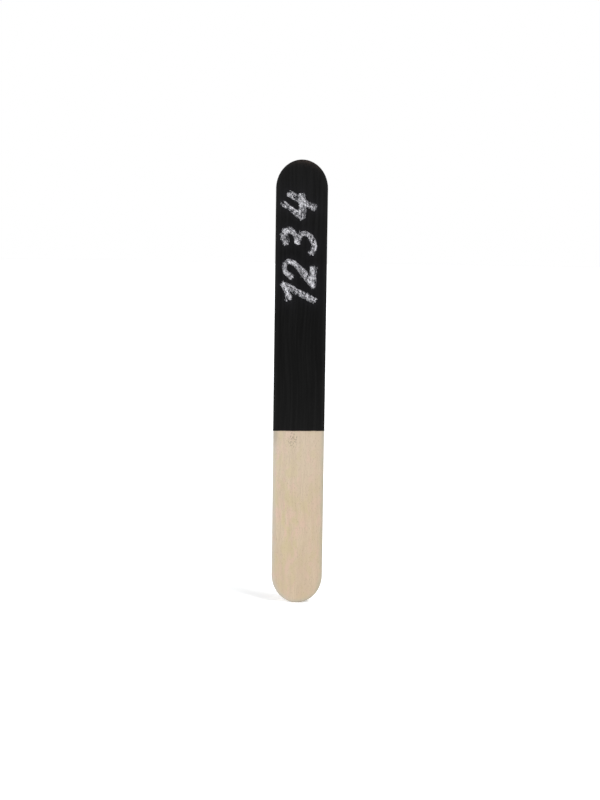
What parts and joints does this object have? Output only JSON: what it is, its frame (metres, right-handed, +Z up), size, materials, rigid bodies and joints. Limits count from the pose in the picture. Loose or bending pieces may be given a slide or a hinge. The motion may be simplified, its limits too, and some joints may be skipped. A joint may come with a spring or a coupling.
{
  "type": "plant label stake",
  "caption": "Flat wooden stick with round ends, its upper part coated in matt black chalkboard paint for writing on, its bare lower end pushed into soil to label a plant.",
  "frame": {"origin": "lowest point of the bare tip, in the middle of the stick's width and thickness", "axes": "+Z up the stick from the bare tip to the painted top, +X across its width, -Y out of the writing face"},
  "size_m": [0.0178, 0.002, 0.1525],
  "materials": {
    "birch_wood": "bare, tumbled smooth",
    "chalkboard_paint": "matt, slightly gritty, brushed along the stick",
    "chalk": "dry powder, broken by the grit of the paint"
  },
  "bodies": {
    "root": {"wooden_stick": "birch_wood", "chalkboard_coat": "chalkboard_paint"}
  },
  "joints": []
}
